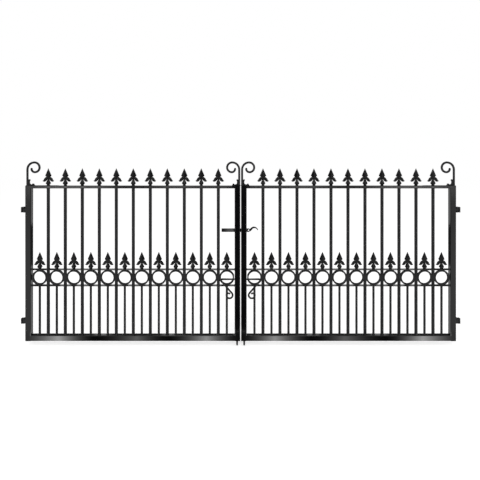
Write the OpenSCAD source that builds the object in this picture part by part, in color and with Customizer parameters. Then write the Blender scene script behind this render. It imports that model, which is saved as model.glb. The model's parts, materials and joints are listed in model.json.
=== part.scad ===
// A pair of wrought iron driveway gate leaves, hung on pins in U-shaped post brackets.
// X runs along the gate, Y from its front to its back, and Z is up.
// The origin is the middle of the lower left bracket's face, where it meets its post.

/* [Gate] */
// Width of the closed pair, between the outer faces of the hinge stiles
gate_w = 3050; // [2700:10:3600]
// Height of the frame, from the bottom of the stiles to their tops
frame_h = 1100; // [950:5:1400]
// Gap between the two meeting stiles
meeting_gap = 5.5; // [5:0.5:12]

/* [Frame tubes] */
// Side of the square stile tube
stile_s = 40; // [34:1:60]
// Height of the bottom rail tube
bottom_rail_h = 40; // [25:1:60]
// Height of the top rail tube
top_rail_h = 20; // [15:1:40]
// Depth of both rail tubes, front to back
rail_d = 40; // [30:1:60]
// Wall of every tube
tube_wall = 3; // [2:0.5:5]
// Outer corner radius of every tube
tube_r = 4; // [2:0.5:7]
// Thickness of the plate that closes a stile's end
cap_t = 4; // [2:0.5:8]
// Play of that plate inside its stile
cap_play = 0.1; // [0.05:0.05:0.5]

/* [Bars and ring band] */
// Rings in one leaf, with a main bar between each two
ring_count = 12; // [8:1:13]
// Diameter of the main bars
main_bar_d = 22; // [12:0.5:24]
// Diameter of the dog bars under the rings
dog_bar_d = 16; // [10:0.5:20]
// Height of the underside of the ring band
band_z = 386; // [250:1:480]
// Outer diameter of a ring
ring_od = 108; // [90:1:116]
// Width of a ring's band, seen from the front
ring_band = 12; // [6:0.5:16]
// Depth of a ring, front to back
ring_d = 14; // [8:0.5:24]
// Gap between the last ring and its stile
ring_end_gap = 1.6; // [0.2:0.1:10]
// Thickness of the two flats that hold the rings
flat_t = 6; // [4:0.5:10]
// Depth of those flats, front to back
flat_d = 30; // [28:1:40]
// Play of a main bar in the flats' holes and in the rings' notches
bar_play = 0.2; // [0.1:0.05:0.5]

/* [Finials] */
// Height of a finial
finial_h = 124; // [110:1:150]
// Width of the spear head
head_w = 41; // [30:1:50]
// Height of the spear head's widest place
head_z = 76; // [72:1:84]
// Thickness of the spear head there
head_t = 15; // [10:0.5:20]
// Thickness of the spear head at its point
point_t = 3; // [2:0.5:6]
// Width across the tips of the two leaves
leaf_span = 81.5; // [70:0.5:92]
// Height of the leaf tips
leaf_z = 39; // [36:1:42]
// Thickness of the leaves at the stem
leaf_t = 10; // [6:0.5:14]
// Diameter of the bead
bead_d = 35; // [24:0.5:40]
// Height of the bead's widest place
bead_z = 17; // [14:0.5:20]
// Diameter of the stem
stem_d = 13.5; // [9:0.5:16]
// Diameter of the foot
foot_d = 22; // [18:0.5:26]

/* [Scrolls] */
// Width of the scroll's bar, seen from the front
scroll_w = 14; // [8:0.5:16]
// Depth of the scroll's bar, front to back
scroll_d = 16; // [10:0.5:24]
// Straight height of the scroll above the stile
scroll_rise = 114; // [90:1:140]
// Radius of the first quarter turn, and of the next three
scroll_r1 = 51; // [45:0.5:60]
scroll_r2 = 37; // [36:0.5:44]
scroll_r3 = 34; // [32:0.5:36]
scroll_r4 = 24; // [18:0.5:26]

/* [Corner ornaments] */
// Length of the ornament along the frame, from the scroll's bar
ornament_w = 45; // [42:1:56]
// Height of the ornament
ornament_h = 44; // [40:1:56]
// Depth of the ornament, front to back
ornament_d = 14; // [8:0.5:24]
// Radius of its two knobs
knob_r = 6.2; // [4:0.1:7]
// Width of its waist under the upper knob
waist_w = 9.5; // [8:0.5:12]
// Radius of the cove between the knobs
cove_r = 12; // [9:0.5:14]

/* [Hinges] */
// Distance from a post's face to the stile
hinge_reach = 35; // [33:0.5:60]
// Distance from a post's face to the pin's axis
pin_offset = 20.5; // [18:0.5:24]
// Height of the lower hinge above the gate's bottom
hinge_low_z = 138; // [100:1:220]
// Height of the upper hinge above the gate's bottom
hinge_high_z = 928; // [700:1:940]
// Diameter of the hinge pin
pin_d = 10; // [8:0.5:12]
// Radial play of the pin in its eye and ears
pin_play = 0.05; // [0.01:0.01:0.1]
// Height and diameter of the pin's head
pin_head_h = 2; // [1.5:0.5:5]
pin_head_d = 15; // [13:0.5:17]
// Length of the pin's tail under the bracket
pin_tail = 1.5; // [1:0.5:8]
// Radius of the bracket's ears and of the eye
ear_r = 9; // [8:0.5:9.5]
// Height of the bracket
bracket_h = 38; // [34:1:50]
// Thickness of the bracket's two ears
bracket_t = 6; // [4:0.5:7]
// Gap between the eye and the bracket's back
eye_back_gap = 1; // [0.5:0.1:4]
// Gap above and below the eye between the ears
eye_play = 0.5; // [0.2:0.1:1]
// Diameter of the stud that carries the eye on the stile
stud_d = 16; // [12:0.5:16]

/* [Latch] */
// Height of the latch bar's middle
latch_z = 777; // [700:1:900]
// Height of the latch bar
latch_h = 25; // [20:0.5:32]
// Thickness of the latch bar
latch_t = 8; // [5:0.5:12]
// Gap between the stile's back and the latch bar
latch_gap = 4; // [3:0.5:8]
// Reach of the latch bar past the gate's middle, on the left and on the right
latch_left = 137; // [100:1:180]
latch_right = 69; // [66:1:90]
// Diameter of the padlock hole in the bar's round right end
lock_d = 10; // [8:0.5:12]
// Diameter of the latch's pivot
pivot_d = 12; // [10:0.5:14]
// Play along the pivot, on each side of the bar
pivot_side_play = 0.3; // [0.2:0.1:1]
// Radius of the finger curl up to its top, and after it
latch_curl_r1 = 20; // [16:0.5:24]
latch_curl_r2 = 28; // [24:0.5:36]
// Width of the finger curl at its root and at its tip
latch_root_w = 12; // [8:0.5:14]
latch_tip_w = 3; // [2:0.5:5]
// Width of the keeper along the gate
keeper_w = 30; // [20:1:40]
// Thickness of the keeper's ledge and lip
keeper_t = 5; // [3:0.5:8]
// Height of the keeper's lip behind the bar
keeper_lip = 14; // [8:0.5:24]
// Gap between the bar and the keeper
keeper_gap = 0.5; // [0.3:0.1:2]

/* [Drop bolts] */
// Diameter of the bolt's rod
bolt_d = 13; // [10:0.5:16]
// Distance of the rod's axis from the gate's middle
bolt_x = 25.5; // [18:0.5:30]
// Distance of the rod's axis from the stile's back
bolt_out = 10; // [10:0.5:14]
// Reach of the rod below the gate's bottom
bolt_drop = 52; // [20:1:90]
// Radial play of the rod in its guides
bolt_play = 0.08; // [0.02:0.01:0.1]
// Wall and height of a guide
guide_wall = 3.4; // [2:0.1:3.4]
guide_h = 30; // [15:1:50]
// Height of the lower guide's bottom
guide_low_z = 60; // [20:1:150]
// Height of the handle above the gate's bottom
handle_z = 423.6; // [380:0.1:480]
// Gap between the handle and the guide that it rests on
handle_gap = 0.3; // [0.3:0.1:2]
// Diameter of the handle's bar at the rod, and at the end of its curl
handle_d = 11; // [8:0.5:12]
tail_end_d = 9; // [6:0.5:12]
// Straight length of the handle before it turns back
handle_run = 107; // [80:1:140]
// Radius of the turn at the handle's end
handle_bend_r = 8; // [8:0.5:16]
// Angle of that turn
handle_turn = 131; // [120:1:140]
// Length of the slanted tail after the turn
tail_run = 115; // [90:1:150]
// Radius of the tail's curl, and of its inner end
curl_r = 22.5; // [20:0.5:28]
curl_end_r = 14; // [13:0.5:16]
// Angle over which the inner end turns
curl_end_turn = 140; // [90:1:150]

/* [Hidden] */
$fn = 64;
// A little more than nothing, so that cuts pass right through
cut = 1;
// Inner corner radius of every tube
tube_in_r = max(tube_r - tube_wall, 0.5);
// One leaf, and where things stand in it, from the hinge stile's outer face
leaf_w = (gate_w - meeting_gap) / 2;
clear_w = leaf_w - 2 * stile_s;
ring_pitch = (clear_w - ring_od - 2 * ring_end_gap) / (ring_count - 1);
first_ring_x = stile_s + ring_end_gap + ring_od / 2;
ring_xs = [for (i = [0 : ring_count - 1]) first_ring_x + i * ring_pitch];
main_xs = [for (i = [0 : ring_count - 2]) first_ring_x + (i + 0.5) * ring_pitch];
// The ring band, from its lower flat up
ring_z = band_z + flat_t + ring_od / 2;
upper_flat_z = band_z + flat_t + ring_od;
// The back of the stiles, and what stands off it
stile_back = stile_s / 2;
latch_y = stile_back + latch_gap;
bolt_y = stile_back + bolt_out;
gate_mid_x = hinge_reach + gate_w / 2;
meeting_stile_mid = meeting_gap / 2 + stile_s / 2;
keeper_top = latch_z - latch_h / 2 - keeper_gap;
eye_h = bracket_h - 2 * bracket_t - 2 * eye_play;
bracket_back = pin_offset - ear_r - eye_back_gap;
guide_high_z = handle_z - handle_d / 2 - handle_gap - guide_h;
// Sides of the bolt handle's bar, and the angle between two places along a forged bend
handle_sides = 12;
bend_step = 15;
// Colours
paint = [0.06, 0.06, 0.065];
casting = [0.09, 0.09, 0.095];
hardware = [0.12, 0.12, 0.125];

// Placing: a leaf is drawn from its hinge stile's outer face, and the right one is its mirror image
module on_left() {
    translate([hinge_reach, 0, -hinge_low_z]) children();
}

module on_right() {
    translate([hinge_reach + gate_w, 0, -hinge_low_z]) mirror([1, 0, 0]) children();
}

module at_middle() {
    translate([gate_mid_x, 0, -hinge_low_z]) children();
}

// Turns an outline drawn on X and Y so that it stands up on X and Z, with its depth along Y
module upright() {
    rotate([90, 0, 0]) children();
}

module at_both_stiles() {
    children();
    translate([leaf_w, 0, 0]) mirror([1, 0, 0]) children();
}

module at_both_hinges() {
    for (z = [hinge_low_z, hinge_high_z])
        translate([0, 0, z]) children();
}

// Frame
module rounded_rect(w, h, r) {
    translate([r, 0]) square([w - 2 * r, h]);
    translate([0, r]) square([w, h - 2 * r]);
    for (x = [r, w - r], y = [r, h - r])
        translate([x, y]) circle(r = r);
}

module tube_outline(w, h) {
    difference() {
        rounded_rect(w, h, tube_r);
        translate([tube_wall, tube_wall]) rounded_rect(w - 2 * tube_wall, h - 2 * tube_wall, tube_in_r);
    }
}

module stile_tube() {
    color(paint)
        translate([0, -stile_s / 2, 0]) linear_extrude(frame_h) tube_outline(stile_s, stile_s);
}

module hinge_stile() {
    stile_tube();
}

module meeting_stile() {
    translate([leaf_w - stile_s, 0, 0]) stile_tube();
}

module stile_caps() {
    cap_s = stile_s - 2 * tube_wall - 2 * cap_play;
    color(paint)
        at_both_stiles()
            for (z = [0, frame_h - cap_t])
                translate([(stile_s - cap_s) / 2, -cap_s / 2, z])
                    linear_extrude(cap_t) rounded_rect(cap_s, cap_s, tube_in_r);
}

module rail_tube(h) {
    color(paint)
        translate([stile_s, -rail_d / 2, 0]) rotate([90, 0, 90])
            linear_extrude(clear_w) tube_outline(rail_d, h);
}

module bottom_rail() {
    rail_tube(bottom_rail_h);
}

module top_rail() {
    translate([0, 0, frame_h - top_rail_h]) rail_tube(top_rail_h);
}

// Bars and the ring band
module main_bars() {
    color(paint)
        for (x = main_xs)
            translate([x, 0, bottom_rail_h])
                cylinder(d = main_bar_d, h = frame_h - top_rail_h - bottom_rail_h);
}

module dog_bars() {
    color(paint)
        for (x = ring_xs)
            translate([x, 0, bottom_rail_h]) cylinder(d = dog_bar_d, h = band_z - bottom_rail_h);
}

module main_bar_holes() {
    for (x = main_xs)
        translate([x, 0]) circle(d = main_bar_d + 2 * bar_play);
}

module punched_flat() {
    color(paint)
        linear_extrude(flat_t) difference() {
            translate([stile_s, -flat_d / 2]) square([clear_w, flat_d]);
            main_bar_holes();
        }
}

module lower_flat() {
    translate([0, 0, band_z]) punched_flat();
}

module upper_flat() {
    translate([0, 0, upper_flat_z]) punched_flat();
}

// Each ring is notched where it meets the main bars beside it
module rings() {
    color(paint)
        for (x = ring_xs)
            translate([x, 0, ring_z]) difference() {
                upright() linear_extrude(ring_d, center = true) difference() {
                    circle(d = ring_od);
                    circle(d = ring_od - 2 * ring_band);
                }
                for (side = [-1, 1])
                    translate([side * ring_pitch / 2, 0, 0])
                        cylinder(d = main_bar_d + 2 * bar_play, h = ring_od, center = true);
            }
}

// Finials: a turned foot, bead and stem under a flat spear head with two drooping leaves
module finial_stem() {
    foot_h = 3;
    neck_z = 6;
    stem_z = bead_z + 25;
    rotate_extrude() polygon([
        [0, 0], [foot_d / 2, 0], [foot_d / 2, foot_h], [stem_d / 2 + 1.5, neck_z], [bead_d / 2, bead_z],
        [stem_d / 2, stem_z], [stem_d / 2, head_z - 20], [0, head_z - 20]
    ]);
}

module finial_head_outline() {
    root_z = leaf_z + 6;
    polygon([[0, finial_h], [head_w / 2, head_z], [0, root_z], [-head_w / 2, head_z]]);
}

module finial_leaf_outline() {
    shoulder_x = leaf_span / 2 - 15;
    polygon([
        [0, leaf_z + 25], [shoulder_x, leaf_z + 20], [shoulder_x + 2, leaf_z + 11], [leaf_span / 2, leaf_z],
        [shoulder_x, leaf_z - 9], [stem_d / 2 + 8, leaf_z - 5],
        [stem_d / 2 - 0.5, leaf_z + 7], [0, leaf_z + 7]
    ]);
}

// The head thins from its widest place to its point, and the leaves lie in front of its root
module finial_head() {
    intersection() {
        upright() linear_extrude(head_t, center = true) finial_head_outline();
        rotate([90, 0, 90]) linear_extrude(head_w, center = true) polygon([
            [-leaf_t / 2, leaf_z], [leaf_t / 2, leaf_z], [head_t / 2, head_z], [point_t / 2, finial_h],
            [-point_t / 2, finial_h], [-head_t / 2, head_z]
        ]);
    }
}

module finial_leaves() {
    for (side = [0, 1])
        mirror([side, 0, 0]) upright() linear_extrude(leaf_t, center = true) finial_leaf_outline();
}

module finial() {
    color(casting) {
        finial_stem();
        finial_head();
        finial_leaves();
    }
}

module main_finials() {
    for (x = main_xs)
        translate([x, 0, frame_h]) finial();
}

module dog_finials() {
    for (x = ring_xs)
        translate([x, 0, upper_flat_z + flat_t]) finial();
}

// Scrolls: a bar that rises on the stile's outer edge and winds inward in four quarter turns
module scroll_arc(r, from) {
    rotate([0, 0, from]) rotate_extrude(angle = 90)
        translate([r - scroll_w / 2, -scroll_d / 2]) square([scroll_w, scroll_d]);
}

module scroll() {
    top = [scroll_w / 2 + scroll_r1, scroll_rise + scroll_r1];
    right = [top.x + scroll_r2, top.y - scroll_r2];
    bottom = [right.x - scroll_r3, right.y - scroll_r3];
    end = [bottom.x - scroll_r4, bottom.y + scroll_r4];
    color(paint) upright() {
        translate([0, 0, -scroll_d / 2]) cube([scroll_w, scroll_rise, scroll_d]);
        translate([top.x, scroll_rise]) scroll_arc(scroll_r1, 90);
        translate([top.x, right.y]) scroll_arc(scroll_r2, 0);
        translate([bottom.x, right.y]) scroll_arc(scroll_r3, -90);
        translate([bottom.x, end.y]) scroll_arc(scroll_r4, 180);
        translate(end) cylinder(d = scroll_w, h = scroll_d, center = true);
    }
}

module hinge_scroll() {
    translate([0, 0, frame_h]) scroll();
}

module meeting_scroll() {
    translate([leaf_w, 0, frame_h]) mirror([1, 0, 0]) scroll();
}

// Corner ornament: a cove between an upper and a lower knob, in the corner of scroll and rail
module ornament_outline() {
    foot_h = 7.5;
    cove_at = [waist_w + cove_r, foot_h + cove_r];
    difference() {
        square(cove_at);
        translate(cove_at) circle(r = cove_r);
    }
    square([waist_w, ornament_h - knob_r]);
    translate([waist_w + 4 - knob_r, ornament_h - knob_r]) circle(r = knob_r);
    square([ornament_w - knob_r, foot_h]);
    translate([ornament_w - 4 - knob_r, foot_h]) circle(r = knob_r);
    intersection() {
        translate([ornament_w - knob_r, 0]) circle(r = knob_r);
        square([ornament_w, foot_h]);
    }
}

module corner_ornaments() {
    color(casting)
        at_both_stiles()
            translate([scroll_w, 0, frame_h])
                upright() linear_extrude(ornament_d, center = true) ornament_outline();
}

// Hinges: an eye on a stud turns on a pin between the two ears of a bracket
module pin_hole() {
    cylinder(d = pin_d + 2 * pin_play, h = bracket_h + 2 * cut, center = true);
}

module hinge_eyes() {
    color(hardware)
        at_both_hinges()
            translate([pin_offset - hinge_reach, 0, 0]) difference() {
                union() {
                    cylinder(r = ear_r, h = eye_h, center = true);
                    rotate([0, 90, 0]) cylinder(d = stud_d, h = hinge_reach - pin_offset);
                }
                pin_hole();
            }
}

module bracket_ear() {
    linear_extrude(bracket_t) {
        translate([0, -ear_r]) square([pin_offset, 2 * ear_r]);
        translate([pin_offset, 0]) circle(r = ear_r);
    }
}

module hinge_brackets() {
    color(hardware)
        at_both_hinges()
            translate([-hinge_reach, 0, 0]) difference() {
                union() {
                    translate([0, -ear_r, -bracket_h / 2]) cube([bracket_back, 2 * ear_r, bracket_h]);
                    translate([0, 0, bracket_h / 2 - bracket_t]) bracket_ear();
                    translate([0, 0, -bracket_h / 2]) bracket_ear();
                }
                translate([pin_offset, 0, 0]) pin_hole();
            }
}

module hinge_pins() {
    color(hardware)
        at_both_hinges()
            translate([pin_offset - hinge_reach, 0, 0]) {
                translate([0, 0, -bracket_h / 2 - pin_tail]) cylinder(d = pin_d, h = bracket_h + pin_tail);
                translate([0, 0, bracket_h / 2]) cylinder(d = pin_head_d, h = pin_head_h);
            }
}

// Forged bends: places along an arc, each with its heading, which turns left at 1 and right at -1
function bend_path(at, r, from, to, turn) =
    let (steps = ceil(abs(to - from) / bend_step))
    [for (i = [0 : steps])
        let (a = from + (to - from) * i / steps)
        [at.x + r * cos(a), at.y + r * sin(a), a + 90 * turn]];

// A flat strip along such a line, thinning from its start to its end
function strip(path, from_w, to_w) =
    let (
        last = len(path) - 1,
        half = [for (k = [0 : last]) (from_w + (to_w - from_w) * k / last) / 2],
        side = [for (k = [0 : last]) half[k] * [-sin(path[k][2]), cos(path[k][2])]],
        mid = [for (k = [0 : last]) [path[k][0], path[k][1]]]
    )
    concat(mid - side, [for (k = [last : -1 : 0]) mid[k] + side[k]]);

// Latch: a flat bar that turns on the right meeting stile and drops into a keeper on the left one
// The finger curl's middle line starts in the bar's round end, leans over its top and comes down to a tip
function latch_curl_path() =
    let (
        lean = 135,
        tip = 20,
        root = [latch_right - latch_h / 8, -latch_h / 12],
        rise = latch_curl_r1 * sin(lean) - root.y,
        near = [root.x + rise / tan(lean - 90) - latch_curl_r1 * cos(lean), 0],
        far = near - [0, latch_curl_r2 - latch_curl_r1]
    )
    concat(
        [[root.x, root.y, lean - 90]],
        bend_path(near, latch_curl_r1, lean, 90, -1),
        bend_path(far, latch_curl_r2, 90 - bend_step, tip, -1)
    );

module latch_outline() {
    round_at = latch_right - latch_h / 2;
    difference() {
        union() {
            translate([-latch_left, -latch_h / 2]) square([latch_left + round_at, latch_h]);
            translate([round_at, 0]) circle(d = latch_h);
            polygon(strip(latch_curl_path(), latch_root_w, latch_tip_w));
        }
        translate([round_at, 0]) circle(d = lock_d);
        translate([meeting_stile_mid, 0]) circle(d = pivot_d + 2 * pin_play);
    }
}

module latch_bar() {
    color(hardware)
        translate([0, latch_y + latch_t, latch_z]) upright() linear_extrude(latch_t) latch_outline();
}

module latch_pivot() {
    collar_d = pivot_d + 14;
    head_d = pivot_d + 8;
    head_h = 4;
    color(hardware)
        translate([meeting_stile_mid, stile_back, latch_z]) rotate([-90, 0, 0]) {
            cylinder(d = collar_d, h = latch_gap - pivot_side_play);
            cylinder(d = pivot_d, h = latch_gap + latch_t + pivot_side_play);
            translate([0, 0, latch_gap + latch_t + pivot_side_play]) cylinder(d = head_d, h = head_h);
        }
}

module latch_keeper() {
    lip_y = latch_y + latch_t + keeper_gap;
    back_t = latch_gap - keeper_gap;
    color(hardware)
        translate([-meeting_stile_mid - keeper_w / 2, 0, keeper_top]) rotate([90, 0, 90])
            linear_extrude(keeper_w) {
                translate([stile_back, -keeper_t]) square([lip_y + keeper_t - stile_back, keeper_t]);
                translate([lip_y, -keeper_t]) square([keeper_t, keeper_t + keeper_lip]);
                translate([stile_back, -keeper_t]) square([back_t, keeper_t + latch_h]);
            }
}

// Drop bolts: a rod in two guides on the meeting stile, with a bar handle that ends in a curled tail
module bolt_guides() {
    guide_r = bolt_d / 2 + guide_wall;
    color(hardware)
        for (z = [guide_low_z, guide_high_z])
            translate([leaf_w + meeting_gap / 2 - bolt_x, bolt_y, z]) linear_extrude(guide_h) difference() {
                union() {
                    circle(r = guide_r);
                    translate([-guide_r, -bolt_out]) square([2 * guide_r, bolt_out]);
                }
                circle(r = bolt_d / 2 + bolt_play);
            }
}

// The handle's middle line, drawn from the rod's top with the handle pointing along X
function handle_path() =
    let (
        bend_end = 90 - handle_turn,
        bend_at = [handle_run, -handle_bend_r],
        run_from = bend_at + handle_bend_r * [cos(bend_end), sin(bend_end)],
        run_to = run_from + tail_run * [cos(handle_turn), -sin(handle_turn)],
        curl_at = run_to + curl_r * [sin(handle_turn), cos(handle_turn)],
        end_at = curl_at + [curl_r - curl_end_r, 0]
    )
    concat(
        [[0, 0, 0]],
        bend_path(bend_at, handle_bend_r, 90, bend_end, -1),
        bend_path(curl_at, curl_r, -90 - handle_turn, -bend_step, 1),
        bend_path(end_at, curl_end_r, 0, curl_end_turn, 1)
    );

// One bar swept along that line, thinning from the rod to the curl's end
module bolt_handle() {
    path = handle_path();
    last = len(path) - 1;
    sides = handle_sides;
    points = [
        for (k = [0 : last], j = [0 : sides - 1])
            let (
                r = (handle_d + (tail_end_d - handle_d) * k / last) / 2,
                out = r * cos(360 * j / sides),
                up = r * sin(360 * j / sides)
            )
            [path[k][0] - out * sin(path[k][2]), path[k][1] + out * cos(path[k][2]), up]
    ];
    walls = [
        for (k = [0 : last - 1], j = [0 : sides - 1])
            let (a = k * sides + j, b = k * sides + (j + 1) % sides)
            each [[a, a + sides, b], [b, a + sides, b + sides]]
    ];
    ends = [
        [for (j = [0 : sides - 1]) j],
        [for (j = [sides - 1 : -1 : 0]) last * sides + j]
    ];
    polyhedron(points, concat(walls, ends));
}

// The rod is turned, with a round top and a round tip
module bolt_rod() {
    length = bolt_drop + handle_z;
    rotate_extrude() intersection() {
        translate([0, -bolt_drop]) square([bolt_d, length + bolt_d]);
        union() {
            translate([-bolt_d / 2, bolt_d / 2 - bolt_drop]) square([bolt_d, length - bolt_d / 2]);
            translate([0, bolt_d / 2 - bolt_drop]) circle(d = bolt_d);
            translate([0, handle_z]) circle(d = bolt_d);
        }
    }
}

module drop_bolt() {
    color(hardware)
        translate([leaf_w + meeting_gap / 2 - bolt_x, bolt_y, 0]) {
            bolt_rod();
            translate([0, 0, handle_z]) mirror([1, 0, 0]) upright() bolt_handle();
        }
}

on_left() hinge_stile();  // left_hinge_stile
on_left() meeting_stile();  // left_meeting_stile
on_left() stile_caps();  // left_stile_caps
on_left() bottom_rail();  // left_bottom_rail
on_left() top_rail();  // left_top_rail
on_left() lower_flat();  // left_lower_flat
on_left() upper_flat();  // left_upper_flat
on_left() main_bars();  // left_main_bars
on_left() dog_bars();  // left_dog_bars
on_left() rings();  // left_rings
on_left() main_finials();  // left_main_finials
on_left() dog_finials();  // left_dog_finials
on_left() hinge_scroll();  // left_hinge_scroll
on_left() meeting_scroll();  // left_meeting_scroll
on_left() corner_ornaments();  // left_corner_ornaments
on_left() hinge_eyes();  // left_hinge_eyes
on_left() bolt_guides();  // left_bolt_guides
at_middle() latch_keeper();
on_right() hinge_stile();  // right_hinge_stile
on_right() meeting_stile();  // right_meeting_stile
on_right() stile_caps();  // right_stile_caps
on_right() bottom_rail();  // right_bottom_rail
on_right() top_rail();  // right_top_rail
on_right() lower_flat();  // right_lower_flat
on_right() upper_flat();  // right_upper_flat
on_right() main_bars();  // right_main_bars
on_right() dog_bars();  // right_dog_bars
on_right() rings();  // right_rings
on_right() main_finials();  // right_main_finials
on_right() dog_finials();  // right_dog_finials
on_right() hinge_scroll();  // right_hinge_scroll
on_right() meeting_scroll();  // right_meeting_scroll
on_right() corner_ornaments();  // right_corner_ornaments
on_right() hinge_eyes();  // right_hinge_eyes
on_right() bolt_guides();  // right_bolt_guides
at_middle() latch_pivot();
at_middle() latch_bar();
on_left() drop_bolt();  // left_drop_bolt
on_right() drop_bolt();  // right_drop_bolt
on_left() hinge_brackets();  // left_hinge_brackets
on_right() hinge_brackets();  // right_hinge_brackets
on_left() hinge_pins();  // left_hinge_pins
on_right() hinge_pins();  // right_hinge_pins
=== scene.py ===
import json
import math
import bpy
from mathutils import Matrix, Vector

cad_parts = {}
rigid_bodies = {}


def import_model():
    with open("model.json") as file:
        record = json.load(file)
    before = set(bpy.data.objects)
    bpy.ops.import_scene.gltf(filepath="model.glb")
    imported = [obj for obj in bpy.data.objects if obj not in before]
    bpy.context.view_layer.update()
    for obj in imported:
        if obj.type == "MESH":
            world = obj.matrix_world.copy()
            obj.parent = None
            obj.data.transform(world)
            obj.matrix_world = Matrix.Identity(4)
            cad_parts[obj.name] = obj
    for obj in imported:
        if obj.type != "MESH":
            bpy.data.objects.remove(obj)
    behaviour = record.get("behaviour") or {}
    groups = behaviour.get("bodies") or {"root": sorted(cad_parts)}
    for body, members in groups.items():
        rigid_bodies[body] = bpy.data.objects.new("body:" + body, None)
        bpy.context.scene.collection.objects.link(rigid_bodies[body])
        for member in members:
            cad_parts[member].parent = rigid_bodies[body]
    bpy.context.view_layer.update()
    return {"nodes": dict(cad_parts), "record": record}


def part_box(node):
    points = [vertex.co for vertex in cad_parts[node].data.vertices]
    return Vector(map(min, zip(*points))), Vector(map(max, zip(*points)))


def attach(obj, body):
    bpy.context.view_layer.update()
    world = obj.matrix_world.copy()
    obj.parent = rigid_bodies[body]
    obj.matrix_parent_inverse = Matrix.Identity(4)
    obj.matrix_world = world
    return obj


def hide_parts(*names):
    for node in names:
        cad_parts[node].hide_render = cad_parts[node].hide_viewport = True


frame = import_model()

cadNodes = frame["nodes"]
bpy.ops.object.select_all(action="DESELECT")
print("gate: frame loaded,", len(cadNodes), "nodes")

gate = {
    "middleX": 1.560,
    "frontY": -0.020,
    "sides": ("left", "right"),
    "mainCount": 11,
    "dogCount": 12,
}


# camera: straight on, a little above the finials, framed low
photoView = {
    "distance": 3.02,
    "height": 1.192,
    "lens": 32.03,
    "sensor": 36,
    "shiftX": -0.00135,
    "shiftY": -0.18097,
    "farClip": 200,
}
bpy.ops.object.camera_add(
    location=(gate["middleX"], gate["frontY"] - photoView["distance"], photoView["height"]),
    rotation=(math.radians(90), 0, 0),
)
gateCamera = bpy.context.object
gateCamera.name = "gateCamera"
gateCamera.data.lens = photoView["lens"]
gateCamera.data.sensor_width = photoView["sensor"]
gateCamera.data.shift_x = photoView["shiftX"]
gateCamera.data.shift_y = photoView["shiftY"]
gateCamera.data.clip_end = photoView["farClip"]
bpy.context.scene.camera = gateCamera
print("gate: camera set")


# paint: black over steel, gloss or satin, with a fine orange peel and slow waves in the sheen
framePaintLook = {
    "dark": (0.0016, 0.0016, 0.0018, 1),
    "light": (0.0048, 0.0048, 0.0052, 1),
    "roughLow": 0.08,
    "roughHigh": 0.15,
    "peelScale": 420.0,
    "peelBump": 0.025,
    "waveScale": 7.0,
    "waveBump": 0.012,
    "gloss": 0.32,
}
barPaintLook = {
    "dark": (0.0185, 0.0185, 0.0192, 1),
    "light": (0.0330, 0.0330, 0.0340, 1),
    "roughLow": 0.34,
    "roughHigh": 0.48,
    "peelScale": 420.0,
    "peelBump": 0.02,
    "waveScale": 7.0,
    "waveBump": 0.006,
    "gloss": 0.03,
}
castPaintLook = {
    "dark": (0.0028, 0.0028, 0.0030, 1),
    "light": (0.0090, 0.0090, 0.0096, 1),
    "roughLow": 0.26,
    "roughHigh": 0.46,
    "peelScale": 260.0,
    "peelBump": 0.12,
    "waveScale": 34.0,
    "waveBump": 0.10,
    "gloss": 0.14,
}
hardwarePaintLook = {
    "dark": (0.0070, 0.0070, 0.0074, 1),
    "light": (0.0210, 0.0210, 0.0220, 1),
    "roughLow": 0.24,
    "roughHigh": 0.42,
    "peelScale": 330.0,
    "peelBump": 0.08,
    "waveScale": 18.0,
    "waveBump": 0.05,
    "gloss": 0.2,
}
# what all the coats share
coatWork = {
    "ior": 1.5,
    "cloudScale": 9.0,
    "cloudDetail": 5.0,
    "cloudRough": 0.6,
    "cloudRange": (0.32, 0.72),
    "grainScale": 55.0,
    "grainDetail": 4.0,
    "grainRange": (0.3, 0.7),
    "bumpDetail": 2.0,
    "waveHeight": 0.01,
    "peelHeight": 0.0006,
}


def addNoise(tree, place, scale, detail):
    noise = tree.nodes.new("ShaderNodeTexNoise")
    noise.inputs["Scale"].default_value = scale
    noise.inputs["Detail"].default_value = detail
    tree.links.new(place.outputs["Object"], noise.inputs["Vector"])
    return noise


def addBump(tree, noise, strength, height):
    bump = tree.nodes.new("ShaderNodeBump")
    bump.inputs["Strength"].default_value = strength
    bump.inputs["Distance"].default_value = height
    tree.links.new(noise.outputs["Fac"], bump.inputs["Height"])
    return bump


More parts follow.
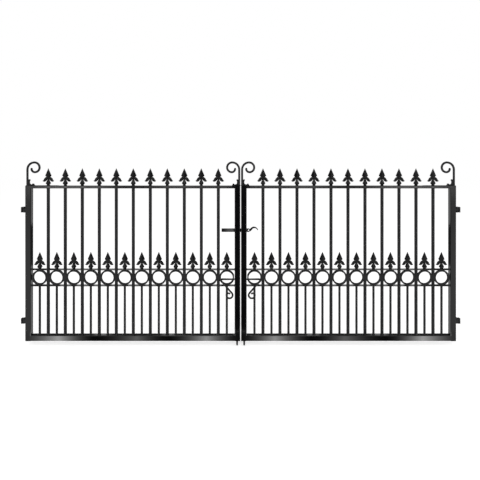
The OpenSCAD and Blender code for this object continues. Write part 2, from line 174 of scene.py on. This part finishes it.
def makePaint(paintName, look):
    w = coatWork
    paint = bpy.data.materials.new(paintName)
    paint.use_nodes = True
    tree = paint.node_tree
    shader = tree.nodes["Principled BSDF"]
    shader.inputs["Metallic"].default_value = 0.0
    shader.inputs["IOR"].default_value = w["ior"]
    shader.inputs["Specular IOR Level"].default_value = look["gloss"]
    place = tree.nodes.new("ShaderNodeTexCoord")

    # slow clouds: brush-outs and dust that settled on the film
    cloud = addNoise(tree, place, w["cloudScale"], w["cloudDetail"])
    cloud.inputs["Roughness"].default_value = w["cloudRough"]
    tone = tree.nodes.new("ShaderNodeValToRGB")
    for end, at, colour in zip(tone.color_ramp.elements, w["cloudRange"], (look["dark"], look["light"])):
        end.position = at
        end.color = colour
    tree.links.new(cloud.outputs["Fac"], tone.inputs["Fac"])
    tree.links.new(tone.outputs["Color"], shader.inputs["Base Color"])

    # roughness wanders with a finer grain
    grain = addNoise(tree, place, w["grainScale"], w["grainDetail"])
    rough = tree.nodes.new("ShaderNodeMapRange")
    rough.inputs["From Min"].default_value = w["grainRange"][0]
    rough.inputs["From Max"].default_value = w["grainRange"][1]
    rough.inputs["To Min"].default_value = look["roughLow"]
    rough.inputs["To Max"].default_value = look["roughHigh"]
    tree.links.new(grain.outputs["Fac"], rough.inputs["Value"])
    tree.links.new(rough.outputs["Result"], shader.inputs["Roughness"])

    # waves under the film, then the peel on top of them
    wave = addNoise(tree, place, look["waveScale"], w["bumpDetail"])
    waveBump = addBump(tree, wave, look["waveBump"], w["waveHeight"])
    peel = addNoise(tree, place, look["peelScale"], w["bumpDetail"])
    peelBump = addBump(tree, peel, look["peelBump"], w["peelHeight"])
    tree.links.new(waveBump.outputs["Normal"], peelBump.inputs["Normal"])
    tree.links.new(peelBump.outputs["Normal"], shader.inputs["Normal"])
    return paint


paints = {
    "frame_paint": makePaint("frameGlossPaint", framePaintLook),
    "bars": makePaint("barSatinPaint", barPaintLook),
    "cast_paint": makePaint("castGlossPaint", castPaintLook),
    "hardware_paint": makePaint("hardwareSatinPaint", hardwarePaintLook),
}
satinNodes = ("main_bars", "dog_bars", "rings", "hinge_scroll", "meeting_scroll")
glossNodes = ("latch_bar",)
record = frame["record"]
slotOfNode = {sub["node"]: sub["material_slot"] for sub in record["subparts"]}
bodyOfNode = {n: body for body, members in record["behaviour"]["bodies"].items() for n in members}


def coatFor(nodeName, slotName):
    if nodeName.endswith(satinNodes):
        return paints["bars"]
    if nodeName.endswith(glossNodes):
        return paints["frame_paint"]
    return paints[slotName]


for nodeName, node in cadNodes.items():
    node.data.materials.clear()
    node.data.materials.append(coatFor(nodeName, slotOfNode[nodeName]))
print("gate: paint on the frame")


def onlySelect(piece):
    bpy.ops.object.select_all(action="DESELECT")
    piece.hide_set(False)
    piece.select_set(True)
    bpy.context.view_layer.objects.active = piece


def applyPlace():
    bpy.ops.object.transform_apply(location=True, rotation=True, scale=True)


def applyAll(piece):
    onlySelect(piece)
    for m in list(piece.modifiers):
        bpy.ops.object.modifier_apply(modifier=m.name)


def joinPieces(pieces, pieceName):
    bpy.ops.object.select_all(action="DESELECT")
    for p in pieces:
        p.select_set(True)
    bpy.context.view_layer.objects.active = pieces[0]
    bpy.ops.object.join()
    whole = bpy.context.object
    whole.name = pieceName
    whole.data.name = pieceName
    applyPlace()
    return whole


def placedCopy(piece, at):
    onlySelect(piece)
    bpy.ops.object.duplicate()
    one = bpy.context.object
    one.location = at
    return one


def clearPicks(piece):
    # a vertex, edge or face that stays picked would take its neighbours with it in edit mode
    for part in (piece.data.vertices, piece.data.edges, piece.data.polygons):
        for item in part:
            item.select = False


def editPicks(kind):
    bpy.ops.object.mode_set(mode="EDIT")
    bpy.ops.mesh.select_mode(type=kind)


def editAll():
    bpy.ops.object.mode_set(mode="EDIT")
    bpy.ops.mesh.select_all(action="SELECT")


def roundEdges(piece, width, angle):
    bevel = piece.modifiers.new("edges", "BEVEL")
    bevel.width = width
    bevel.segments = 2
    bevel.limit_method = "ANGLE"
    bevel.angle_limit = math.radians(angle)
    applyAll(piece)


def finishPiece(piece, slotName, bodyName, *nodeNames):
    piece.data.materials.clear()
    piece.data.materials.append(coatFor(nodeNames[0] if nodeNames else "", slotName))
    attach(piece, bodyName)
    if nodeNames:
        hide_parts(*nodeNames)


# edges that a file and a coat of paint have rounded
edgeWork = {
    "rings": 0.0016,
    "lower_flat": 0.0012,
    "upper_flat": 0.0012,
    "corner_ornaments": 0.0024,
    "bolt_guides": 0.0008,
    "hinge_eyes": 0.0008,
    "hinge_brackets": 0.0014,
    "hinge_pins": 0.0005,
    "latch_bar": 0.0012,
    "latch_keeper": 0.0010,
    "latch_pivot": 0.0008,
    "drop_bolt": 0.0005,
}
copyWork = {
    "merge": 0.00002,
    "flatAngle": 1.0,
    "edgeAngle": 40,
    "smoothAngle": 35,
}


def roundedCopy(nodeName, pieceName, width):
    onlySelect(cadNodes[nodeName])
    bpy.ops.object.duplicate()
    piece = bpy.context.object
    piece.name = pieceName
    piece.data.name = pieceName
    for key in list(piece.keys()):
        if key.startswith("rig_"):
            del piece[key]
    bpy.ops.object.parent_clear(type="CLEAR")
    editAll()
    bpy.ops.mesh.customdata_custom_splitnormals_clear()
    bpy.ops.mesh.remove_doubles(threshold=copyWork["merge"])
    bpy.ops.mesh.dissolve_limited(angle_limit=math.radians(copyWork["flatAngle"]))
    bpy.ops.object.mode_set(mode="OBJECT")
    roundEdges(piece, width, copyWork["edgeAngle"])
    bpy.ops.object.shade_smooth_by_angle(angle=math.radians(copyWork["smoothAngle"]))
    # keep the sheen of the flat faces flat
    flatten = piece.modifiers.new("flatFaces", "WEIGHTED_NORMAL")
    flatten.keep_sharp = True
    applyAll(piece)
    return piece


# forged ends that are stouter than the plain bar: a bolt's handle past its rod, and the latch's finger curl
swellWork = {
    "left_drop_bolt": {"from": 0.012, "way": -1, "by": 0.0016},
    "right_drop_bolt": {"from": 0.012, "way": 1, "by": 0.0016},
    "latch_bar": {"from": 0.0435, "way": 1, "by": 0.0014},
    "rodHalf": 0.0065,
}


def swellPast(piece, nodeName):
    work = swellWork[nodeName]
    if nodeName == "latch_bar":
        low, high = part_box("latch_pivot")
        axisX = (low.x + high.x) / 2
    else:
        low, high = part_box(nodeName)
        axisX = high.x - swellWork["rodHalf"] if work["way"] < 0 else low.x + swellWork["rodHalf"]
    clearPicks(piece)
    for v in piece.data.vertices:
        v.select = (v.co.x - axisX) * work["way"] > work["from"]
    editPicks("VERT")
    bpy.ops.transform.shrink_fatten(value=work["by"])
    bpy.ops.object.mode_set(mode="OBJECT")


for nodeName in list(cadNodes):
    shortName = nodeName.replace("left_", "").replace("right_", "")
    if shortName not in edgeWork:
        continue
    words = nodeName.split("_")
    pieceName = words[0] + "".join(w.capitalize() for w in words[1:]) + "Rounded"
    piece = roundedCopy(nodeName, pieceName, edgeWork[shortName])
    if nodeName in swellWork:
        swellPast(piece, nodeName)
    finishPiece(piece, slotOfNode[nodeName], bodyOfNode[nodeName], nodeName)
print("gate: edges rounded")


# spear finial: a ridged head, two drooping leaves, a faceted bead and a round foot, cast in one
finialWork = {
    "headWide": 0.0232,    # half widths and heights in metres
    "headThick": 0.0075,
    "headZ": 0.0694,
    "tipZ": 0.1220,
    "tipWide": 0.0006,
    "headSteps": [(0.0612, 0.64), (0.0545, 0.50), (0.0420, 0.26)],    # height, and share of the width
    "headThin": 0.4,       # the head thins by this share of what it narrows
    "headEdge": (0.0020, 25),
    "beadWide": 0.0184,
    "beadZ": 0.0148,
    "beadTop": (0.046, 0.0046),
    "beadSteps": [(0.0056, 0.0100), (0.0032, 0.0112), (0.0, 0.0112)],
    "beadSides": 8,
    "beadEdge": (0.0007, 20),
    "leafSides": 8,
    "leafFlat": 0.46,
    "leafPath": [
        (0.0000, 0.0548, 0.0098), (0.0060, 0.0546, 0.0108), (0.0120, 0.0520, 0.0118),
        (0.0180, 0.0464, 0.0126), (0.0235, 0.0392, 0.0124), (0.0285, 0.0338, 0.0102),
        (0.0335, 0.0318, 0.0068), (0.0376, 0.0326, 0.0038), (0.0412, 0.0346, 0.0010),
    ],
    "smoothAngle": 32,
    "play": 0.0001,        # the row keeps this far inside its node's box at either end
}


def drawnAlong(path, sides, flat, pieceName):
    # a round or flattened bar, extruded from place to place along (x, z, half width)
    headings = []
    for k in range(len(path)):
        before, after = path[max(k - 1, 0)], path[min(k + 1, len(path) - 1)]
        headings.append(math.atan2(after[1] - before[1], after[0] - before[0]))
    startX, startZ, startHalf = path[0]
    bpy.ops.object.select_all(action="DESELECT")
    bpy.ops.mesh.primitive_circle_add(
        vertices=sides, radius=startHalf, fill_type="NGON",
        location=(startX, 0, startZ), rotation=(0, math.pi / 2 - headings[0], 0))
    bar = bpy.context.object
    bar.name = pieceName
    applyPlace()
    editAll()
    bpy.ops.transform.resize(value=(1, flat, 1), center_override=(startX, 0, startZ))
    for k in range(1, len(path)):
        x, z, half = path[k]
        lastX, lastZ, lastHalf = path[k - 1]
        grow = half / lastHalf
        turn = headings[k] - headings[k - 1]
        turn = math.atan2(math.sin(turn), math.cos(turn))
        bpy.ops.mesh.extrude_region_move(TRANSFORM_OT_translate={"value": (x - lastX, 0, z - lastZ)})
        bpy.ops.transform.rotate(value=turn, orient_axis="Y", center_override=(x, 0, z))
        bpy.ops.transform.resize(value=(grow, grow, grow), center_override=(x, 0, z))
    bpy.ops.mesh.select_all(action="SELECT")
    bpy.ops.mesh.normals_make_consistent(inside=False)
    bpy.ops.object.mode_set(mode="OBJECT")
    return bar


def addSpike(sides, lowZ, lowWide, topZ, topWide, turn):
    bpy.ops.object.select_all(action="DESELECT")
    bpy.ops.mesh.primitive_cone_add(
        vertices=sides, radius1=lowWide, radius2=topWide, depth=topZ - lowZ,
        location=(0, 0, (topZ + lowZ) / 2), rotation=(0, 0, turn))
    return bpy.context.object


def drawDown(piece, z, wide, steps, thin):
    # extrudes the downward face at the bottom, step by step
    lowest = min(p.center.z for p in piece.data.polygons)
    clearPicks(piece)
    for p in piece.data.polygons:
        p.select = p.center.z < lowest + 1e-5 and p.normal.z < -0.9
    editPicks("FACE")
    for nextZ, nextWide in steps:
        grow = nextWide / wide
        bpy.ops.mesh.extrude_region_move(TRANSFORM_OT_translate={"value": (0, 0, nextZ - z)})
        bpy.ops.transform.resize(value=(grow, 1 - (1 - grow) * thin, 1), center_override=(0, 0, nextZ))
        z, wide = nextZ, nextWide
    bpy.ops.object.mode_set(mode="OBJECT")


def makeFinial():
    w = finialWork
    head = addSpike(4, w["headZ"], w["headWide"], w["tipZ"], w["tipWide"], 0)
    head.scale = (1, w["headThick"] / w["headWide"], 1)
    applyPlace()
    drawDown(head, w["headZ"], 1.0, w["headSteps"], w["headThin"])
    roundEdges(head, *w["headEdge"])

    bead = addSpike(w["beadSides"], w["beadZ"], w["beadWide"], *w["beadTop"], math.pi / w["beadSides"])
    applyPlace()
    drawDown(bead, w["beadZ"], w["beadWide"], w["beadSteps"], 1.0)
    roundEdges(bead, *w["beadEdge"])

    leaves = []
    for way in (1, -1):
        path = [(way * x, z, half) for x, z, half in w["leafPath"]]
        leaf = drawnAlong(path, w["leafSides"], w["leafFlat"], "leaf")
        smooth = leaf.modifiers.new("smooth", "SUBSURF")
        smooth.levels = 1
        smooth.render_levels = 1
        applyAll(leaf)
        leaves.append(leaf)
    finial = joinPieces([head, bead] + leaves, "spearFinial")
    bpy.ops.object.shade_smooth_by_angle(angle=math.radians(w["smoothAngle"]))
    return finial


finial = makeFinial()
for side in gate["sides"]:
    for row in ("main", "dog"):
        nodeName = side + "_" + row + "_finials"
        low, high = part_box(nodeName)
        half = finial.dimensions.x / 2 + finialWork["play"]
        first, last = low.x + half, high.x - half
        count = gate[row + "Count"]
        copies = [placedCopy(finial, (first + (last - first) * n / (count - 1), 0, low.z)) for n in range(count)]
        whole = joinPieces(copies, side + row.capitalize() + "Finials")
        finishPiece(whole, "cast_paint", side + "_leaf", nodeName)
bpy.data.objects.remove(finial)
print("gate: finials set")


# stile scrolls: a round bar that rises on the stile's outer edge and winds in, in four quarter turns
scrollWork = {
    "barHalf": 0.0076,
    "rise": 0.114,
    "turns": [0.0498, 0.0362, 0.0332, 0.0235],    # radius of each quarter
    "turnSteps": 9,
    "endSteps": [25, 50, 75],                     # round end, in degrees
    "sides": 14,
    "smoothAngle": 50,
}


def scrollPath(footX, footZ, way):
    w = scrollWork
    places = [(0.0, 0.0), (0.0, w["rise"] * 0.5), (0.0, w["rise"])]
    heading = 90.0
    for radius in w["turns"]:
        x, z = places[-1]
        midX = x + radius * math.sin(math.radians(heading))
        midZ = z - radius * math.cos(math.radians(heading))
        for k in range(1, w["turnSteps"] + 1):
            a = math.radians(heading - 90.0 * k / w["turnSteps"])
            places.append((midX - radius * math.sin(a), midZ + radius * math.cos(a)))
        heading -= 90.0
    path = [(footX + way * x, footZ + z, w["barHalf"]) for x, z in places]
    endX, endZ, half = path[-1]
    for turn in w["endSteps"]:
        a = math.radians(turn)
        path.append((endX, endZ + half * math.sin(a), half * math.cos(a)))
    return path


def scrollFoot(side, stile):
    # the middle of a scroll's foot, and the way in which it winds
    low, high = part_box(side + "_" + stile + "_scroll")
    if (stile == "hinge") == (side == "left"):
        return low.x + scrollWork["barHalf"], low.z, 1
    return high.x - scrollWork["barHalf"], low.z, -1


for side in gate["sides"]:
    for stile in ("hinge", "meeting"):
        path = scrollPath(*scrollFoot(side, stile))
        scroll = drawnAlong(path, scrollWork["sides"], 1.0, side + stile.capitalize() + "ScrollRounded")
        onlySelect(scroll)
        bpy.ops.object.shade_smooth_by_angle(angle=math.radians(scrollWork["smoothAngle"]))
        finishPiece(scroll, "frame_paint", side + "_leaf", side + "_" + stile + "_scroll")
print("gate: scrolls wound")


# welds: a bead round each bar's foot and head, and along each joint of rail, flat and stile
weldWork = {
    "thick": 0.0021,
    "sunk": 0.0006,
    "lumps": 0.00035,
    "aroundSteps": 22,
    "acrossSteps": 6,
    "straightSides": 8,
    "straightShare": 0.6,    # round of a straight bead's ends, and its lumps, against those above
    "lift": 0.0004,          # a bead's middle over the face that it lies on
    "short": 0.0020,         # a straight bead ends this far before its joint does
    "railInset": 0.0024,
    "flatInset": 0.0006,
    "guideTall": 0.030,
    "studHalf": 0.0080,
    "studInset": 0.0125,
    "groundWide": 0.0039,    # a weld on the front is ground flush: width on the stile, depth, inset and round
    "groundDeep": 0.0050,
    "groundInset": 0.00005,
    "groundRound": 0.0035,
    "groundSteps": 4,
    "barSeeds": (3, 8, 14),
    "railSeed": 21,
    "flatSeed": 40,
    "guideSeed": 60,
    "studSeed": 80,
    "footSeed": 90,
    "seedStep": 4,
}


def barWeld(barRadius, seed):
    bpy.ops.object.select_all(action="DESELECT")
    bpy.ops.mesh.primitive_torus_add(
        major_radius=barRadius + weldWork["sunk"], minor_radius=weldWork["thick"],
        major_segments=weldWork["aroundSteps"], minor_segments=weldWork["acrossSteps"])
    bead = bpy.context.object
    editAll()
    bpy.ops.transform.vertex_random(offset=weldWork["lumps"], seed=seed)
    bpy.ops.object.mode_set(mode="OBJECT")
    return bead


def jointWeld(start, end, seed):
    # a straight bead between two places, thinner at its ends
    w = weldWork
    start, end = Vector(start), Vector(end)
    bpy.ops.object.select_all(action="DESELECT")
    bpy.ops.mesh.primitive_cylinder_add(
        vertices=w["straightSides"], radius=w["thick"], depth=(end - start).length, location=(start + end) / 2,
        rotation=(end - start).to_track_quat("Z", "Y").to_euler())
    bead = bpy.context.object
    applyPlace()
    editAll()
    bpy.ops.mesh.bevel(offset=w["thick"] * w["straightShare"], segments=2)
    bpy.ops.mesh.select_all(action="SELECT")
    bpy.ops.transform.vertex_random(offset=w["lumps"] * w["straightShare"], seed=seed)
    bpy.ops.object.mode_set(mode="OBJECT")
    return bead


def groundWeld(x, way, low, high):
    # fills the groove between a rail's end and the stile's round edge
    w = weldWork
    middleY = low.y + w["groundInset"] + w["groundDeep"] / 2
    bpy.ops.object.select_all(action="DESELECT")
    bpy.ops.mesh.primitive_cube_add(
        size=1, location=(x + way * w["groundWide"] / 2, middleY, (low.z + high.z) / 2))
    fill = bpy.context.object
    fill.scale = (w["groundWide"], w["groundDeep"], high.z - low.z - 2 * w["groundInset"])
    applyPlace()
    clearPicks(fill)
    for edge in fill.data.edges:
        a, b = (fill.data.vertices[k].co for k in edge.vertices)
        edge.select = max(a.y, b.y) < middleY and abs(a.z - b.z) < 1e-5
    editPicks("EDGE")
    bpy.ops.mesh.bevel(offset=w["groundRound"], segments=w["groundSteps"])
    bpy.ops.object.mode_set(mode="OBJECT")
    return fill


def barWelds(side, row):
    w = weldWork
    low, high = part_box(side + "_" + row + "_bars")
    radius = (high.y - low.y) / 2
    count = gate[row + "Count"]
    patterns = [barWeld(radius, seed) for seed in w["barSeeds"]]
    beads = []
    for n in range(count):
        x = low.x + radius + (high.x - low.x - 2 * radius) * n / (count - 1)
        beads.append(placedCopy(patterns[n % 3], (x, 0, low.z + w["lift"])))
        beads.append(placedCopy(patterns[(n + 1) % 3], (x, 0, high.z - w["lift"])))
    for p in patterns:
        bpy.data.objects.remove(p)
    return beads


def flatWelds(side, flat):
    w = weldWork
    low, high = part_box(side + "_" + flat)
    beads = []
    for n, x in enumerate((low.x + w["flatInset"], high.x - w["flatInset"])):
        for m, z in enumerate((low.z - w["lift"], high.z + w["lift"])):
            start, end = (x, low.y + w["short"], z), (x, high.y - w["short"], z)
            beads.append(jointWeld(start, end, w["flatSeed"] + w["seedStep"] * n + m))
    return beads


def guideWelds(side):
    w = weldWork
    low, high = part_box(side + "_bolt_guides")
    beads = []
    for n, x in enumerate((low.x - w["lift"], high.x + w["lift"])):
        for m, z in enumerate((low.z, high.z - w["guideTall"])):
            start, end = (x, low.y, z + w["short"]), (x, low.y, z + w["guideTall"] - w["short"])
            beads.append(jointWeld(start, end, w["guideSeed"] + w["seedStep"] * n + m))
    return beads


def studWelds(side):
    w = weldWork
    low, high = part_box(side + "_hinge_stile")
    eyeLow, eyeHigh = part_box(side + "_hinge_eyes")
    face = low.x if side == "left" else high.x
    beads = []
    for n, z in enumerate((eyeLow.z + w["studInset"], eyeHigh.z - w["studInset"])):
        stud = barWeld(w["studHalf"], w["studSeed"] + n)
        stud.location = (face, 0, z)
        stud.rotation_euler = (0, math.radians(90), 0)
        beads.append(stud)
    return beads


for side in gate["sides"]:
    beads, fills = barWelds(side, "main") + barWelds(side, "dog"), []
    for rail in ("bottom_rail", "top_rail"):
        low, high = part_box(side + "_" + rail)
        y = high.y - weldWork["railInset"]
        startZ, endZ = low.z + weldWork["short"], high.z - weldWork["short"]
        for n, x in enumerate((low.x, high.x)):
            fills.append(groundWeld(x, 2 * n - 1, low, high))
            seed = weldWork["railSeed"] + weldWork["seedStep"] * n
            beads.append(jointWeld((x, y, startZ), (x, y, endZ), seed))
    beads += flatWelds(side, "lower_flat") + flatWelds(side, "upper_flat") + guideWelds(side) + studWelds(side)
    for n, stile in enumerate(("hinge", "meeting")):
        footX, footZ, way = scrollFoot(side, stile)
        foot = barWeld(scrollWork["barHalf"], weldWork["footSeed"] + n)
        foot.location = (footX, 0, footZ + weldWork["lift"])
        beads.append(foot)
    welds = joinPieces(beads, side + "Welds")
    bpy.ops.object.shade_smooth()
    # the ground welds keep their flat faces
    welds = joinPieces([welds] + fills, side + "Welds")
    finishPiece(welds, "frame_paint", side + "_leaf")
print("gate: welds set")


# floor and light
studio = {
    "floorZ": -0.1905,
    "floorSize": 40.0,
    "floorTone": (0.86, 0.86, 0.86, 1),
    "floorRough": 0.9,
    "floorGlow": 0.52,     # lifts the floor to white where the camera or a gloss sees it
    "worldTone": (1, 1, 1, 1),
    "worldLight": 0.55,
    "backdropLight": 1.0,
    "keyPower": 170.0,
    "keySize": 3.2,
    "keyPlace": (1.56, -4.4, 4.2),
    "keyAimZ": 0.4,
}


def addMath(tree, operation, *terms):
    step = tree.nodes.new("ShaderNodeMath")
    step.operation = operation
    for k, term in enumerate(terms):
        if isinstance(term, (int, float)):
            step.inputs[k].default_value = term
        else:
            tree.links.new(term, step.inputs[k])
    return step.outputs[0]


def seenDirectly(tree):
    # 1 for rays from the camera, off a gloss or through glass, and 0 for those that light the gate
    rays = tree.nodes.new("ShaderNodeLightPath")
    seen = addMath(tree, "MAXIMUM", rays.outputs["Is Camera Ray"], rays.outputs["Is Glossy Ray"])
    return addMath(tree, "MAXIMUM", seen, rays.outputs["Is Transmission Ray"])


def makeMatt(mattName, tone, rough):
    matt = bpy.data.materials.new(mattName)
    matt.use_nodes = True
    shader = matt.node_tree.nodes["Principled BSDF"]
    shader.inputs["Base Color"].default_value = tone
    shader.inputs["Roughness"].default_value = rough
    shader.inputs["Specular IOR Level"].default_value = 0.0
    return matt


bpy.ops.mesh.primitive_plane_add(size=studio["floorSize"], location=(gate["middleX"], 0, studio["floorZ"]))
floor = bpy.context.object
floor.name = "studioFloor"
floorPaint = makeMatt("paleFloor", studio["floorTone"], studio["floorRough"])
floorTree = floorPaint.node_tree
floorGlow = floorTree.nodes.new("ShaderNodeEmission")
floorLift = addMath(floorTree, "MULTIPLY", seenDirectly(floorTree), studio["floorGlow"])
floorTree.links.new(floorLift, floorGlow.inputs["Strength"])
floorSum = floorTree.nodes.new("ShaderNodeAddShader")
floorTree.links.new(floorTree.nodes["Principled BSDF"].outputs[0], floorSum.inputs[0])
floorTree.links.new(floorGlow.outputs[0], floorSum.inputs[1])
floorTree.links.new(floorSum.outputs[0], floorTree.nodes["Material Output"].inputs["Surface"])
floor.data.materials.append(floorPaint)

# painted reflections: cards that only the gloss sees and that light nothing: fans of soft glowing strips for the
# fronts of the bottom and top rail, one behind the gate for the bottom rail's top, a small one for the latch
# bar, and dark ones, painted dark reflections, for the meeting stiles and at either side
cardFan = {
    "from": 3.0,           # the strips fan out from as far on the gate's other side
    "span": 1.6,
    "lowCard": {
        "y": (-0.30, -0.022), "half": 1.75, "over": 0.0006, "sharp": 3.0,
        "stops": [(0.00, 0.05), (0.05, 0.3), (0.24, 10.0), (0.51, 0.01), (0.73, 3.6), (1.02, 0.01),
                  (1.28, 12.0), (1.49, 1.0), (1.60, 0.8)],
    },
    "highCard": {
        "y": -4.6, "z": (0.45, 0.73), "x": (-4.0, 4.0), "sharp": 1.0,
        "stops": [(0.00, 2.0), (0.10, 2.4), (0.22, 1.6), (0.46, 2.7), (0.75, 0.4), (1.06, 4.4),
                  (1.28, 4.8), (1.45, 2.4), (1.60, 1.2)],
    },
    "backCard": {
        "y": 1.1, "z": (0.10, 0.50), "x": (-2.4, 2.4), "sharp": 1.0,
        "stops": [(0.00, 0.12), (0.44, 0.12), (0.51, 1.10), (0.58, 0.12), (0.90, 0.12), (0.99, 1.10),
                  (1.06, 0.12), (1.60, 0.12)],
    },
    "latchCard": {
        "y": -0.31, "z": (0.545, 0.615), "x": (-0.160, -0.058), "sharp": 1.0,
        "stops": [(0.00, 3.6), (0.06, 3.6), (0.09, 2.6), (0.12, 0.6), (0.135, 0.1), (1.60, 0.05)],
    },
    "darkCard": {"y": (-4.59, -0.32), "half": 0.072, "over": 0.0009, "top": 1.7},
    "flags": {"leftFlag": -2.5, "rightFlag": 5.62, "y": (0.4, 6.5), "top": 3.4},
    "clothTone": (0.01, 0.01, 0.01, 1),
}


# glow that only the gloss sees: painted reflection bands, with a level listed at each stop across the fan
def makeFanLight(lightName, card):
    light = bpy.data.materials.new(lightName)
    light.use_nodes = True
    tree = light.node_tree
    tree.nodes.remove(tree.nodes["Principled BSDF"])
    place = tree.nodes.new("ShaderNodeTexCoord")
    split = tree.nodes.new("ShaderNodeSeparateXYZ")
    tree.links.new(place.outputs["Object"], split.inputs[0])
    aside = addMath(tree, "SUBTRACT", split.outputs["X"], gate["middleX"])
    away = addMath(tree, "ADD", cardFan["from"], addMath(tree, "ABSOLUTE", split.outputs["Y"]))
    mirrored = addMath(tree, "ABSOLUTE", addMath(tree, "DIVIDE", aside, away))
    glow = tree.nodes.new("ShaderNodeFloatCurve")
    along = addMath(tree, "MULTIPLY", mirrored, cardFan["from"] / cardFan["span"])
    tree.links.new(along, glow.inputs["Value"])
    peak = max(level for at, level in card["stops"])
    heights = [(at / cardFan["span"], (level / peak) ** (1 / card["sharp"])) for at, level in card["stops"]]
    points = glow.mapping.curves[0].points
    points[0].location = heights[0]
    points[1].location = heights[-1]
    for at, height in heights[1:-1]:
        points.new(at, height)
    for point in points:
        point.handle_type = "VECTOR" if card["sharp"] > 1 else "AUTO"
    glow.mapping.update()
    level = addMath(tree, "MULTIPLY", addMath(tree, "POWER", glow.outputs[0], card["sharp"]), peak)
    shine = tree.nodes.new("ShaderNodeEmission")
    tree.links.new(level, shine.inputs["Strength"])
    tree.links.new(shine.outputs[0], tree.nodes["Material Output"].inputs["Surface"])
    return light


def addCard(cardName, middle, turn, wide, tall, coat):
    bpy.ops.object.select_all(action="DESELECT")
    bpy.ops.mesh.primitive_plane_add(size=1, location=middle, rotation=turn)
    card = bpy.context.object
    card.name = cardName
    card.scale = (wide, tall, 1)
    applyPlace()
    card.data.materials.append(coat)
    card.visible_camera = False
    card.visible_diffuse = False
    card.visible_shadow = False
    card.visible_transmission = False
    return card


def addFloorCard(cardName, card, coat):
    middle = (gate["middleX"], sum(card["y"]) / 2, studio["floorZ"] + card["over"])
    return addCard(cardName, middle, (0, 0, 0), 2 * card["half"], card["y"][1] - card["y"][0], coat)


# a near-black sheet that only the gloss sees: painted dark reflections on the meeting stiles and at either side
darkCloth = makeMatt("darkCloth", cardFan["clothTone"], 1.0)
flags = cardFan["flags"]
for flagName in ("leftFlag", "rightFlag"):
    middle = (flags[flagName], sum(flags["y"]) / 2, (flags["top"] + studio["floorZ"]) / 2)
    addCard(flagName, middle, (0, math.radians(90), 0), flags["top"] - studio["floorZ"],
            flags["y"][1] - flags["y"][0], darkCloth)

# painted reflections: glowing cards seen only in gloss, for the rails' fronts, the bottom rail's top and the
# latch bar
addFloorCard("lowStripCard", cardFan["lowCard"], makeFanLight("lowStripLight", cardFan["lowCard"]))
for cardName in ("highCard", "backCard", "latchCard"):
    card = cardFan[cardName]
    middle = (gate["middleX"] + sum(card["x"]) / 2, card["y"], sum(card["z"]) / 2)
    addCard(cardName, middle, (math.radians(90), 0, 0), card["x"][1] - card["x"][0],
            card["z"][1] - card["z"][0], makeFanLight(cardName + "Light", card))

# the dark card, a painted dark reflection for the meeting stiles, is a box that widens away from the gate
dark = cardFan["darkCard"]
darkCard = addFloorCard("darkCard", dark, darkCloth)
clearPicks(darkCard)
for v in darkCard.data.vertices:
    v.select = v.co.y < sum(dark["y"]) / 2
editPicks("VERT")
widen = 1 - dark["y"][0] / cardFan["from"]
bpy.ops.transform.resize(value=(widen, 1, 1), center_override=(gate["middleX"], 0, 0))
bpy.ops.mesh.select_all(action="SELECT")
bpy.ops.mesh.extrude_region_move(TRANSFORM_OT_translate={"value": (0, 0, dark["top"] - studio["floorZ"])})
bpy.ops.object.mode_set(mode="OBJECT")

world = bpy.data.worlds.new("studioWorld")
bpy.context.scene.world = world
world.use_nodes = True
worldTree = world.node_tree
ambient = worldTree.nodes["Background"]
ambient.inputs["Color"].default_value = studio["worldTone"]
ambient.inputs["Strength"].default_value = studio["worldLight"]
backdrop = worldTree.nodes.new("ShaderNodeBackground")
backdrop.inputs["Color"].default_value = studio["worldTone"]
backdrop.inputs["Strength"].default_value = studio["backdropLight"]
worldMix = worldTree.nodes.new("ShaderNodeMixShader")
worldTree.links.new(seenDirectly(worldTree), worldMix.inputs["Fac"])
worldTree.links.new(ambient.outputs[0], worldMix.inputs[1])
worldTree.links.new(backdrop.outputs[0], worldMix.inputs[2])
worldTree.links.new(worldMix.outputs[0], worldTree.nodes["World Output"].inputs["Surface"])

bpy.ops.object.light_add(type="AREA", location=studio["keyPlace"])
keyLamp = bpy.context.object
keyLamp.name = "keySoftbox"
keyLamp.data.energy = studio["keyPower"]
keyLamp.data.size = studio["keySize"]
keyAim = Vector((gate["middleX"], 0, studio["keyAimZ"])) - keyLamp.location
keyLamp.rotation_euler = keyAim.to_track_quat("-Z", "Y").to_euler()
print("gate: floor and light set")

bpy.context.scene.view_settings.view_transform = "Standard"
